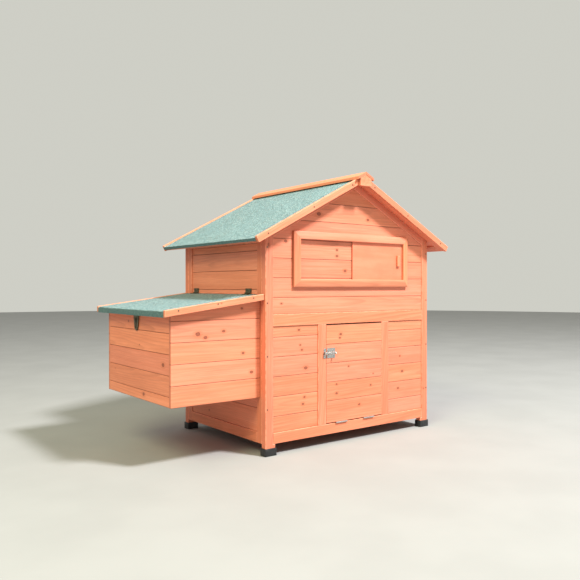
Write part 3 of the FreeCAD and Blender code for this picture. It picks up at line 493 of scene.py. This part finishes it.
def solids(node):
    """The separate solids of a CAD node, each as a bmesh with flat faces of any number of sides."""
    whole = bmesh.new()
    whole.from_mesh(NODES[node].data)
    bmesh.ops.remove_doubles(whole, verts=whole.verts, dist=1e-5)
    left = set(whole.faces)
    found = []
    for start in list(whole.faces):
        if start not in left:
            continue
        left.discard(start)
        stack = [start]
        group = []
        while stack:
            face = stack.pop()
            group.append(face)
            for edge in face.edges:
                if len(edge.link_faces) != 2:
                    continue
                for other in edge.link_faces:
                    if other in left:
                        left.discard(other)
                        stack.append(other)
        found.append(group)
    shapes = []
    for group in found:
        shape = bmesh.new()
        copies = {}
        for face in group:
            for vert in face.verts:
                if vert not in copies:
                    copies[vert] = shape.verts.new(vert.co)
            shape.faces.new([copies[v] for v in face.verts])
        bmesh.ops.dissolve_limit(shape, angle_limit=math.radians(0.6), verts=shape.verts,
                                 edges=shape.edges)
        bmesh.ops.recalc_face_normals(shape, faces=shape.faces)
        shapes.append(shape)
    whole.free()
    return shapes


def grain_axes(shape, along=None):
    """A piece's frame: the grain runs along its longest edge unless it is given."""
    broad = max(shape.faces, key=lambda face: face.calc_area())
    out = broad.normal.copy()
    if along is None:
        longest = max(shape.edges, key=lambda edge: edge.calc_length())
        along = (longest.verts[1].co - longest.verts[0].co).normalized()
    out = (out - along * out.dot(along)).normalized()
    across = out.cross(along)
    low, high = extent(shape)
    return (low + high) / 2, along, across, out


def eased(shape, width, segments=2):
    """Rounds every sharp edge and returns the faces that this made."""
    shape.edges.ensure_lookup_table()
    sharp = [edge for edge in shape.edges
             if len(edge.link_faces) == 2 and edge.calc_face_angle(0) > SHARP]
    made = bmesh.ops.bevel(shape, geom=sharp, offset=width, offset_type="OFFSET", segments=segments,
                           profile=0.5, affect="EDGES", clamp_overlap=True)
    return made["faces"]


def chance_knots(shape, axes, each_metre):
    """Random knots for a piece, as many as its length and the rate give, clear of its ends."""
    origin, along, across, out = axes
    run = half_length(shape, origin, along)
    half = half_length(shape, origin, across)
    count = int(2 * run * each_metre + dice.random())
    knots = []
    for _ in range(min(count, KNOTS_A_PIECE)):
        place = (origin + along * dice.uniform(-run, run) * 0.9
                 + across * dice.uniform(-half, half) * 0.7)
        knots.append((place, dice.uniform(0.0016, 0.004)))
    return knots


# Knots of the walls that show most, in metres: place along the wall, height and radius.
FRONT_KNOTS = [(-0.023, 0.882, 0.0065), (0.234, 0.875, 0.005), (-0.18, 0.773, 0.0055),
               (0.068, 0.748, 0.004), (0.068, 0.725, 0.0045), (0.11, 0.668, 0.005),
               (0.36, 0.78, 0.003), (-0.20, 0.545, 0.003), (0.21, 0.625, 0.003),
               (-0.113, 0.39, 0.003), (-0.105, 0.372, 0.0035), (-0.087, 0.303, 0.0055),
               (-0.10, 0.17, 0.004), (-0.093, 0.195, 0.0035),
               (0.084, 0.422, 0.0045), (0.08, 0.408, 0.0035), (0.126, 0.294, 0.003),
               (0.26, 0.255, 0.0025), (0.246, 0.21, 0.0035), (0.063, 0.229, 0.003),
               (0.063, 0.194, 0.004), (0.183, 0.138, 0.004), (0.42, 0.315, 0.003),
               (0.434, 0.25, 0.0045), (0.409, 0.181, 0.004)]
NEST_KNOTS = [(-0.526, 0.447, 0.0065), (-0.497, 0.434, 0.005), (-0.425, 0.453, 0.0045),
              (-0.345, 0.372, 0.004), (-0.309, 0.302, 0.005), (-0.35, 0.53, 0.0035)]
NEST_END_KNOTS = [(-0.206, 0.345, 0.006), (-0.054, 0.228, 0.0055), (0.075, 0.48, 0.003),
                  (-0.02, 0.40, 0.002)]


def set_knots(shape, axes, spots, first_axis):
    """The listed knots whose place along the wall and height fall on this piece."""
    low, high = extent(shape)
    found = []
    for first, height, radius in spots:
        if low[first_axis] < first < high[first_axis] and low.z < height < high.z:
            place = axes[0].copy()
            place[first_axis] = first
            place.z = height
            found.append((place, radius))
    return found


def take_place(made, *nodes):
    """made stands for these nodes of one body: it rides with them, and they are hidden."""
    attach(made, BODY_OF[nodes[0]])
    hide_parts(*nodes)
    return made


def boards(node, along, spots=None, first_axis=0, rate=0.9):
    """A field of tongue-and-groove boards, with the listed knots or, on others, chance ones."""
    pile = Pile()
    for shape in solids(node):
        axes = grain_axes(shape, along)
        knots = set_knots(shape, axes, spots, first_axis) if spots else []
        if not knots:
            knots = chance_knots(shape, axes, rate)
        pile.add(shape, axes, knots=knots)
    return take_place(pile.make(node + "_planks", BOARD), node)


# How far the sharp edges of each kind of piece are rounded, in metres.
RAIL_EASE = 0.0016
POST_EASE = 0.0022
TRIM_EASE = 0.0014
SHEET_EASE = 0.0006
PANEL_EASE = 0.0008     # of the sliding window panel
FOOT_EASE = 0.0018
RIDGE_GAP = 0.0001      # from the ridge's middle to each of its boards
NO_STAIN = 0.01         # added to a timber's half width, so that no stain pools at its own edges


def timbers(node, material=FRAME_WOOD, ease=RAIL_EASE, along=None, rate=0.4):
    """Rails, posts, battens and trims: solid timber with eased edges, rate knots a metre."""
    pile = Pile()
    for shape in solids(node):
        axes = grain_axes(shape, along)
        half = half_length(shape, axes[0], axes[2]) + NO_STAIN
        knots = chance_knots(shape, axes, rate)
        worn = eased(shape, ease)
        pile.add(shape, axes, worn, knots, half=half)
    return take_place(pile.make(node + "_timber", material), node)


FEW_FACES = 40          # a sheet with more has notches, and shows plies only at its two ends


def panels(node, along, ease=SHEET_EASE):
    """Plywood sheets."""
    pile = Pile()
    for shape in solids(node):
        axes = grain_axes(shape, along)
        worn = eased(shape, ease, 1)
        pile.add(shape, axes, worn, half=NO_JOINTS)
    made = pile.make(node + "_sheet", PLYWOOD)
    polygons = made.data.polygons
    if len(polygons) < FEW_FACES:
        marks = made.data.attributes["face"].data
        for polygon in polygons:
            if abs(polygon.normal.dot(axes[3])) < 0.7:
                mark = marks[polygon.index]
                mark.vector = (mark.vector[0], 1.0, NO_JOINTS)
    return take_place(made, node)


def make_walls():
    """All the wood but the ridge cap, the perch and the window."""
    for node in ("front_left_boards", "front_right_boards", "front_upper_boards"):
        boards(node, X_AXIS, FRONT_KNOTS)
    boards("door_boards", X_AXIS, FRONT_KNOTS)
    boards("back_boards", X_AXIS)
    boards("left_boards", Y_AXIS)
    boards("right_boards", Y_AXIS)
    boards("nest_side_boards", X_AXIS, NEST_KNOTS)
    boards("nest_outer_boards", Y_AXIS, NEST_END_KNOTS, 1)
    for node in ("leg_front_left", "leg_front_right", "leg_back_left", "leg_back_right"):
        timbers(node, ease=POST_EASE, along=Z_AXIS)
    for node in ("front_bottom_rail", "front_middle_rail", "front_stiles", "front_rake_rails",
                 "back_rails", "left_frame", "right_frame", "roof_battens", "floor_bearers",
                 "nest_corner_battens", "door_battens", "lid_edge_batten", "perch_holders"):
        timbers(node)
    for node in ("barge_boards_front", "barge_boards_back", "lid_end_trims", "ridge_end_blocks"):
        timbers(node, TRIM, TRIM_EASE, rate=0.8)
    for node, along in (("floor_panel", X_AXIS), ("nest_floor", Y_AXIS), ("nest_divider", Z_AXIS),
                        ("roof_deck_left", Y_AXIS), ("roof_deck_right", Y_AXIS),
                        ("lid_deck", Y_AXIS)):
        panels(node, along)


def make_ridge_cap():
    """Two boards that meet along the ridge."""
    pile = Pile()
    middle = (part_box("ridge_cap")[0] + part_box("ridge_cap")[1]) / 2
    for side in (-1, 1):
        shape = solids("ridge_cap")[0]
        cut(shape, middle + X_AXIS * side * RIDGE_GAP, X_AXIS * -side, True)
        open_edges = [edge for edge in shape.edges if edge.is_boundary]
        bmesh.ops.holes_fill(shape, edges=open_edges, sides=0)
        bmesh.ops.recalc_face_normals(shape, faces=shape.faces)
        axes = grain_axes(shape, Y_AXIS)
        worn = eased(shape, TRIM_EASE)
        pile.add(shape, axes, worn, chance_knots(shape, axes, 1.5), half=NO_JOINTS)
    take_place(pile.make("ridge_cap_boards", TRIM), "ridge_cap")


def make_perch():
    """A turned pole with softened ends."""
    low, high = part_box("perch")
    centre = (low + high) / 2
    radius = (high.z - low.z) / 2
    shape = bmesh.new()
    bmesh.ops.create_cone(shape, cap_ends=True, segments=32, radius1=radius, radius2=radius,
                          depth=high.y - low.y)
    turn = Matrix.Translation(centre) @ Matrix.Rotation(math.radians(90), 4, "X")
    bmesh.ops.transform(shape, matrix=turn, verts=shape.verts)
    knot = (centre + Vector((0.0, 0.1, radius)), 0.004)
    axes = (centre, Y_AXIS, X_AXIS, Z_AXIS)
    rims = [edge for edge in shape.edges if edge.calc_face_angle(0) > 1]
    worn = bmesh.ops.bevel(shape, geom=rims, offset=0.002, segments=3, profile=0.5,
                           affect="EDGES")["faces"]
    pile = Pile()
    pile.add(shape, axes, worn, [knot], smooth=True, half=NO_JOINTS)
    made = pile.make("perch_pole", FRAME_WOOD)
    crisp(made, 40)
    take_place(made, "perch")


# ---------------------------------------------------------------- window

MOULDING_WIDTH = 0.030
MOULDING_LOW = 0.66         # the outer edge's height over the thickness
MOULDING_BREAK = 0.0008     # the broken outer edge
MOULDING_ROUND = 0.003      # the rounded lip beside the opening
MOULDING_LIP = 0.008        # how far the lip reaches over the panel
MOULDING_REBATE = 0.0077    # the depth of the panel's rebate behind the lip
MITRE_GAP = 0.00012         # from each mitre's middle to the mouldings
SWELL_STEPS = 8
ROUND_STEPS = 4


def moulding_profile(deep):
    """The section of a window moulding, as (distance from its outer edge, distance out of the
    wall): a low outer edge, a face that swells towards the window, a rounded lip and the panel's
    rebate behind it."""
    edge = deep * MOULDING_LOW
    crest = MOULDING_WIDTH - MOULDING_ROUND
    outline = [(0.0, 0.0), (0.0, edge - MOULDING_BREAK), (MOULDING_BREAK, edge)]
    for k in range(1, SWELL_STEPS + 1):
        share = k / SWELL_STEPS
        outline.append((MOULDING_BREAK + (crest - MOULDING_BREAK) * share,
                        edge + (deep - edge) * math.sin(math.pi / 2 * share)))
    for k in range(1, ROUND_STEPS + 1):
        angle = math.radians(90 / ROUND_STEPS * k)
        outline.append((crest + MOULDING_ROUND * math.sin(angle),
                        deep - MOULDING_ROUND + MOULDING_ROUND * math.cos(angle)))
    inner = MOULDING_WIDTH - MOULDING_LIP
    return outline + [(MOULDING_WIDTH, MOULDING_REBATE), (inner, MOULDING_REBATE), (inner, 0.0)]


def bridge(shape, first, second):
    """The faces between two rings of vertices of the same number."""
    count = len(first)
    return [shape.faces.new((first[n], first[(n + 1) % count], second[(n + 1) % count], second[n]))
            for n in range(count)]


def make_window_frame():
    """Four mouldings mitred at the corners."""
    low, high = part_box("window_frame")
    wall = high.y
    profile = moulding_profile(high.y - low.y)
    corners = [Vector((low.x, 0, low.z)), Vector((high.x, 0, low.z)),
               Vector((high.x, 0, high.z)), Vector((low.x, 0, high.z))]
    insets = [Vector((1, 0, 1)), Vector((-1, 0, 1)), Vector((-1, 0, -1)), Vector((1, 0, -1))]
    pile = Pile()
    for k in range(4):
        after = (k + 1) % 4
        start, end = corners[k], corners[after]
        along = (end - start).normalized()
        shape = bmesh.new()
        rings = []
        for corner, inset, gap in ((start, insets[k], MITRE_GAP), (end, insets[after], -MITRE_GAP)):
            ring = []
            for reach, proud in profile:
                place = corner + inset * reach + along * gap
                ring.append(shape.verts.new((place.x, wall - proud, place.z)))
            rings.append(ring)
        outer_edge = bridge(shape, *rings)[0]
        shape.faces.new(rings[0])
        shape.faces.new(list(reversed(rings[1])))
        bmesh.ops.recalc_face_normals(shape, faces=shape.faces)
        centre = (start + end) / 2 + Vector((0, wall, 0))
        axes = (centre, along, Y_AXIS.cross(along), Y_AXIS)
        knots = chance_knots(shape, axes, 1.2)
        # The outer edge's face gets painted shade, darker than end grain.
        pile.add(shape, axes, (), knots, smooth=True, half=NO_JOINTS, painted_shade_faces=[outer_edge])
    made = pile.make("window_mouldings", TRIM)
    crisp(made, 38)
    take_place(made, "window_frame")


def make_window_panel():
    """The sliding plywood panel and its grip."""
    panels("window_panel", X_AXIS, PANEL_EASE)
    timbers("window_panel_grip", TRIM, TRIM_EASE, Z_AXIS, 0)


WIRE_PITCH = 0.0194
UPRIGHT_WIRES = 15
LEVEL_WIRES = 9


def make_wire_mesh():
    """Welded mesh of round galvanised wire: upright wires in front of level ones."""
    low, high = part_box("window_mesh")
    radius = (high.y - low.y) / 4
    shape = bmesh.new()

    def wire(start, end):
        made = bmesh.ops.create_cone(shape, cap_ends=True, segments=8, radius1=radius,
                                     radius2=radius, depth=(end - start).length)
        bmesh.ops.transform(shape, matrix=standing((start + end) / 2, end - start),
                            verts=made["verts"])

    for k in range(UPRIGHT_WIRES):
        x = min(low.x + radius + WIRE_PITCH * k, high.x - radius)
        wire(Vector((x, low.y + radius, low.z)), Vector((x, low.y + radius, high.z)))
    for k in range(LEVEL_WIRES):
        z = low.z + radius + WIRE_PITCH * k
        wire(Vector((low.x, high.y - radius, z)), Vector((high.x, high.y - radius, z)))
    made = show_shape("window_wires", shape, WIRE)
    made.data.shade_smooth()
    crisp(made, 50)
    take_place(made, "window_mesh")


# ---------------------------------------------------------------- felt and feet

FELT_STEP = 0.012       # between the cuts that let a sheet be uneven
FELT_SINK = 0.0011      # how far its hollows sink
FELT_RAGGED = 0.0012    # how far its lower edge strays
FELT_BEND = 0.0042      # the offset of the bends at the eaves
BEND_ANGLE = math.radians(50)
STRIP_AREA = 0.006      # the least area of a turned-down strip
FACE_AREA = 0.05        # the least area of a sheet's face
CUT_EDGE = 0.0015       # what is this close to a sheet's lowest point is its cut edge


def bent_edge(edge):
    """Is this the edge of a bend: a long one between the sheet's face and its turned-down strip?"""
    run = (edge.verts[0].co - edge.verts[1].co).normalized()
    areas = sorted(face.calc_area() for face in edge.link_faces)
    return (abs(run.y) > 0.99 and edge.is_convex and edge.calc_face_angle(0) > BEND_ANGLE
            and areas[0] > STRIP_AREA and areas[-1] > FACE_AREA)


def felt_cover(node):
    """A felt sheet: bent at the eave and slightly uneven, its cut lower edge not quite true."""
    pile = Pile()
    for shape in solids(node):
        bends = [edge for edge in shape.edges if bent_edge(edge)]
        bmesh.ops.bevel(shape, geom=bends, offset=FELT_BEND, segments=4, profile=0.5,
                        affect="EDGES", clamp_overlap=True)
        low, high = extent(shape)
        for axis, normal in ((1, Y_AXIS), (0, X_AXIS)):
            cuts = int((high[axis] - low[axis]) / FELT_STEP)
            for k in range(1, cuts):
                cut(shape, low + normal * (high[axis] - low[axis]) * k / cuts, normal)
        shape.normal_update()
        upward = {v for face in shape.faces if face.normal.z > 0.5 for v in face.verts}
        for vert in shape.verts:
            if vert in upward:
                swell = (noise.noise(vert.co * 14.0) * 0.5 + noise.noise(vert.co * 60.0) * 0.35
                         + 0.6)
                vert.co.z -= FELT_SINK * max(0.0, swell)
            elif vert.co.z < low.z + CUT_EDGE:
                vert.co.z += FELT_RAGGED * abs(noise.noise(vert.co * 30.0))
        edges = [face for face in shape.faces if face.normal.z < 0.45]
        axes = ((low + high) / 2, Y_AXIS, X_AXIS, Z_AXIS)
        pile.add(shape, axes, edges, smooth=True, half=NO_JOINTS)
    made = pile.make(node + "_sheet", FELT)
    crisp(made, 40)
    take_place(made, node)


def make_feet():
    """Plastic caps with rounded corners."""
    pile = Pile()
    for shape in solids("foot_caps"):
        axes = grain_axes(shape, Z_AXIS)
        eased(shape, FOOT_EASE, 3)
        pile.add(shape, axes, smooth=True, half=NO_JOINTS)
    made = pile.make("foot_cap_mouldings", PLASTIC)
    crisp(made, 50)
    take_place(made, "foot_caps")


# ---------------------------------------------------------------- hardware

SCREW_RADIUS = 0.0027
SCREW_HEIGHT = 0.0007
SCREW_FACETS = 24
SCREW_RINGS = ((1.0, 0.0), (0.94, 0.6), (0.66, 1.0), (0.42, 0.9), (0.24, 0.8))  # radius, height
SLOT_FLOOR = 0.05           # the height of the cross recess's floor over the head's height
BOLT_PLATE = 0.0014         # thickness of the bolt's plate and keeper
BOLT_SCREW_IN = 0.006       # from the plate's ends
BOLT_SCREW_RISE = 0.0137    # above and below the plate's middle
LEAF = 0.0015               # thickness of the lid hinges' leaves
LEAF_SCREWS_IN = (0.0075, 0.0315)   # from the outer end of each hinge
LEAF_SCREW_DROP = 0.0065    # below the wall leaves' top
LEAF_SCREW_REACH = 0.0105   # from the pin along the lid's leaves
LID_PIN = Vector((-0.27135, 0, 0.58285))        # the lid hinges' pin, where Y is 0
LID_SLOPE = 0.13            # the lid's fall over its run


def screw_head(shape, centre, normal):
    """A pan head with a cross recess, added to shape."""
    turn = standing(centre, normal)
    spin = dice.random() * math.pi
    rings = []
    for share, level in SCREW_RINGS:
        ring = []
        for n in range(SCREW_FACETS):
            angle = 2 * math.pi * n / SCREW_FACETS + spin
            in_slot = share < 0.7 and n % (SCREW_FACETS // 4) == 0
            rise = SCREW_HEIGHT * (SLOT_FLOOR if in_slot else level)
            reach = SCREW_RADIUS * share
            place = Vector((reach * math.cos(angle), reach * math.sin(angle), rise))
            ring.append(shape.verts.new(turn @ place))
        rings.append(ring)
    for outer, inner in zip(rings, rings[1:]):
        bridge(shape, outer, inner)
    shape.faces.new(rings[-1])
    shape.faces.new(list(reversed(rings[0])))


def fasteners(name, places, body, material):
    """Screw heads at (place, direction) on one body."""
    shape = bmesh.new()
    for place, normal in places:
        screw_head(shape, Vector(place), Vector(normal).normalized())
    made = show_shape(name, shape, material)
    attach(made, body)


def make_screw_heads():
    """Screws that hold the bolt, its keeper and the lid hinges."""
    low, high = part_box("bolt_barrel_plate")
    face = high.y - BOLT_PLATE
    heights = [(low.z + high.z) / 2 + rise for rise in (-BOLT_SCREW_RISE, BOLT_SCREW_RISE)]
    sides = (low.x + BOLT_SCREW_IN, high.x - BOLT_SCREW_IN)
    fasteners("bolt_screws", [((x, face, z), -Y_AXIS) for x in sides for z in heights],
              "door", ZINC)
    keeper_low, keeper_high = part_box("bolt_keeper")
    across = (keeper_low.x + keeper_high.x) / 2
    fasteners("keeper_screws", [((across, face, z), -Y_AXIS) for z in heights],
              "house", ZINC)
    low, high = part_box("lid_hinge_wall_leaves")
    near, far = LEAF_SCREWS_IN
    along = (low.y + near, low.y + far, high.y - far, high.y - near)
    fasteners("wall_leaf_screws",
              [((high.x - LEAF, y, high.z - LEAF_SCREW_DROP), -X_AXIS) for y in along],
              "house", BRONZE)
    slope = Vector((-1, 0, -LID_SLOPE)).normalized()
    normal = Vector((-LID_SLOPE, 0, 1)).normalized()
    on_leaf = LID_PIN + slope * LEAF_SCREW_REACH - normal * LEAF
    fasteners("lid_leaf_screws", [(on_leaf + Y_AXIS * y, normal) for y in along],
              "nest_lid", BRONZE)


def dress_hardware():
    """Finishes for the CAD nodes that show as they are."""
    for node, slot in SLOT_OF.items():
        if slot == "bronze_hardware":
            finish = BRONZE
        elif slot == "zinc_hardware":
            finish = SCREW_STEEL if node.endswith("screws") else ZINC
        else:
            continue
        for entry in range(len(NODES[node].material_slots)):
            NODES[node].material_slots[entry].material = finish


# ---------------------------------------------------------------- studio

FLOOR_TONES = ((0.30, 0.30, 0.297), (0.32, 0.32, 0.317))
FLOOR_RADIUS = 14.0
SKY = (0.97, 0.97, 0.88, 1)
SKY_STRENGTH = 0.64
# Each lamp's name, place, aim, size, power and colour.
LAMPS = (("key", (1.7, -4.2, 6.2), (0.0, 0.0, 0.5), 1.0, 985, (1.0, 0.995, 0.995)),
         ("fill", (-3.7, -1.7, 4.1), (-0.2, 0.0, 0.4), 2.4, 205, (1.0, 1.0, 0.62)))
# The camera stands where a fit to the photo's straight edges puts it.
CAMERA_PLACE = (-1.609, -2.193, 0.609)
CAMERA_TILT = math.radians(89.65)
CAMERA_TURN = math.radians(-37.33)
CAMERA_LENS = 40.46
CAMERA_SENSOR = 36.0


def make_studio():
    """A pale floor, a key light high on the front right, a wide fill from the left, a pale sky."""
    graph = Graph("pale_floor", 0.85)
    speck = graph.noise(graph.place(), 3.0, 3.0)
    paint = graph.finish(graph.mix(graph.fade(speck, 0.3, 0.7), *FLOOR_TONES))
    shape = bmesh.new()
    bmesh.ops.create_circle(shape, cap_ends=True, segments=96, radius=FLOOR_RADIUS)
    floor = show_shape("floor", shape, paint)
    world = bpy.data.worlds.new("sky")
    world.use_nodes = True
    light = world.node_tree.nodes["Background"].inputs
    light["Color"].default_value = SKY
    light["Strength"].default_value = SKY_STRENGTH
    bpy.context.scene.world = world
    bpy.context.scene.view_settings.view_transform = "Standard"
    for name, place, aim, size, power, colour in LAMPS:
        data = bpy.data.lights.new(name, "AREA")
        data.energy = power
        data.size = size
        data.color = colour
        lamp = show(name, data)
        lamp.location = place
        towards = Vector(aim) - Vector(place)
        lamp.rotation_euler = towards.to_track_quat("-Z", "Y").to_euler()


def make_camera():
    """The photo's view."""
    data = bpy.data.cameras.new("camera")
    data.lens = CAMERA_LENS
    data.sensor_width = CAMERA_SENSOR
    camera = show("camera", data)
    camera.location = CAMERA_PLACE
    camera.rotation_euler = (CAMERA_TILT, 0, CAMERA_TURN)
    bpy.context.scene.camera = camera


make_camera()
make_studio()
make_walls()
make_ridge_cap()
make_perch()
make_window_frame()
make_window_panel()
make_wire_mesh()
for felt_node in ("roof_felt_left", "roof_felt_right", "lid_felt_cover"):
    felt_cover(felt_node)
make_feet()
make_screw_heads()
dress_hardware()
